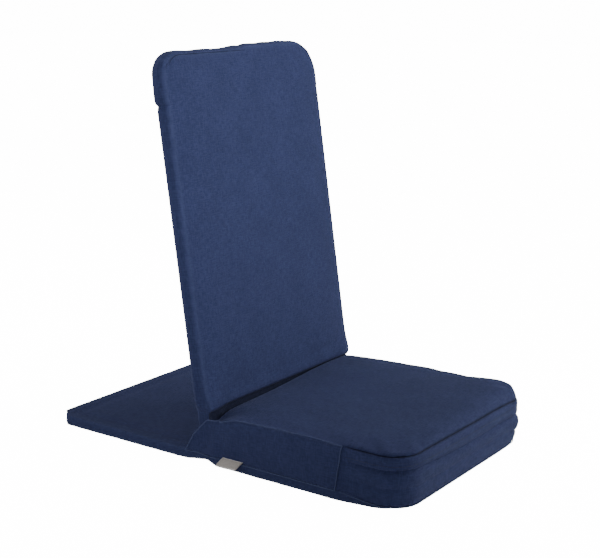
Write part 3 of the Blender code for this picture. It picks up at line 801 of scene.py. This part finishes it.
top_line = seam_of(seat_cover, lambda co: co.z > 0.066 and co.y < SLOT_FOOT_Y + 0.004)
foot_line = seam_of(seat_cover, lambda co: co.z < 0.026 and co.y < SEAM_Y + 0.004)
ridge("seat_foot_seam", [co + outward_of(co) * 0.0010 for co in foot_line], 0.0007, "base")
for name, side in (("right", -1), ("left", 1)):
    for edge, line in panel_edges[name].items():
        ridge("side_panel_" + edge + "_seam_" + name, line, 0.0009, "base")
to_back = lean.inverted()
for name, side in (("front", -1), ("rear", 1)):
    line = seam_of(back_cover, lambda co: ((to_back @ co).y * side > 0.008
                                           and (to_back @ co).z > SKIRT_FOOT + 0.004))
    push = lean.to_3x3() @ Vector((0, side * 0.0004, 0))
    ridge("back_seam_" + name, [co + push for co in line], 0.0008, "backrest")
rear_line = seam_of(base_case, lambda co: co.z > 0.010 and co.y > 0.0)
raised_line = [co + Vector((math.copysign(0.0005, co.x), 0, 0.0006)) for co in rear_line]
ridge("base_top_seam", raised_line, 0.0009, "base")


STITCH_PITCH, STITCH_LENGTH, THREAD_RADIUS = 0.0036, 0.0026, 0.0003


def stitch_row(name, line, body):
    """Short stitches of thread, end to end with small gaps, along a line on the cloth."""
    bm = bmesh.new()
    lengths = np.concatenate([[0], np.cumsum([(b - a).length for a, b in zip(line, line[1:])])])
    for start in np.arange(0.002, lengths[-1] - 0.004, STITCH_PITCH):
        ends = [Vector([np.interp(start + d, lengths, [p[a] for p in line]) for a in range(3)])
                for d in (0, STITCH_LENGTH)]
        place = Matrix.Translation((ends[0] + ends[1]) / 2)
        turn = (ends[1] - ends[0]).to_track_quat("Z", "Y").to_matrix().to_4x4()
        bmesh.ops.create_cone(bm, cap_ends=True, segments=6, radius1=THREAD_RADIUS,
                              radius2=THREAD_RADIUS, depth=STITCH_LENGTH, matrix=place @ turn)
    row = keep(name, bm, thread)
    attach(row, body)


lap_line = []
for co in top_line:
    if co.y < SEAM_Y - 0.004:
        out = outward_of(co)
        hit = wall.ray_cast(co + out * 0.03 + Vector((0, 0, LAP_FOLD + 0.006 - co.z)), -out)[0]
        if hit:
            lap_line.append(hit + out * 0.0001)
stitch_row("lap_stitches", lap_line, "base")

# --- Label: a blank woven tab, folded double and sewn into the seam under the right side panel.
# It stands out from the seam and droops toward the floor.
TAB_WIDTH, TAB_REACH, TAB_THICK = 0.038, 0.019, 0.0012
TAB_BORDER = (0.86, 0.84, 0.82, 1)
label_low, label_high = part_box("woven_label")
bm = bmesh.new()
bmesh.ops.create_grid(bm, x_segments=20, y_segments=10, size=0.5)
flat = bm.loops.layers.uv.new("cloth")
for face in bm.faces:
    for corner in face.loops:
        corner[flat].uv = ((corner.vert.co.x + 0.5) * TAB_WIDTH, (corner.vert.co.y + 0.5) * TAB_REACH)
for v in bm.verts:
    along, out = v.co.x + 0.5, 0.5 - v.co.y
    y = label_low[1] + along * (label_high[1] - label_low[1]) + out * 0.0048
    v.co = (label_low[0] - 0.0012 - 0.0138 * out - 0.0006 * math.sin(6 * along) * out, y,
            0.0172 - 0.0100 * out ** 1.3 + 0.0007 * math.sin(5 * along + 1) * out)
ribbon, nodes, links, shader = shader_of("woven_ribbon", 0.75, sheen=0.1)
where = nodes.new("ShaderNodeUVMap")
where.uv_map = "cloth"
ribs = nodes.new("ShaderNodeTexWave")
ribs.bands_direction = "Y"
ribs.inputs["Scale"].default_value = 500
ribs.inputs["Distortion"].default_value = 0.6
links.new(where.outputs["UV"], ribs.inputs["Vector"])
split = nodes.new("ShaderNodeSeparateXYZ")
links.new(where.outputs["UV"], split.inputs[0])
border = nodes.new("ShaderNodeValToRGB")
border.color_ramp.interpolation = "CONSTANT"
border.color_ramp.elements[0].color = TAB_BORDER
border.color_ramp.elements[1].position = 0.10
border.color_ramp.elements[1].color = (0.50, 0.46, 0.43, 1)
last = border.color_ramp.elements.new(0.90)
last.color = TAB_BORDER
share = nodes.new("ShaderNodeMath")
share.operation = "DIVIDE"
share.inputs[1].default_value = TAB_REACH
links.new(split.outputs["Y"], share.inputs[0])
links.new(share.outputs[0], border.inputs["Fac"])
shade = nodes.new("ShaderNodeMix")
shade.data_type = "RGBA"
shade.blend_type = "MULTIPLY"
shade.inputs["Factor"].default_value = 0.35
links.new(border.outputs["Color"], shade.inputs["A"])
links.new(ribs.outputs["Color"], shade.inputs["B"])
links.new(shade.outputs["Result"], shader.inputs["Base Color"])
raised = nodes.new("ShaderNodeBump")
raised.inputs["Strength"].default_value = 0.5
raised.inputs["Distance"].default_value = 0.0002
links.new(ribs.outputs["Fac"], raised.inputs["Height"])
links.new(raised.outputs["Normal"], shader.inputs["Normal"])
bmesh.ops.recalc_face_normals(bm, faces=bm.faces)
label = keep("woven_tab", bm, ribbon)
label.data.shade_smooth()
double = label.modifiers.new("double", "SOLIDIFY")
double.thickness = TAB_THICK
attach(label, "base")
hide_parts("woven_label")
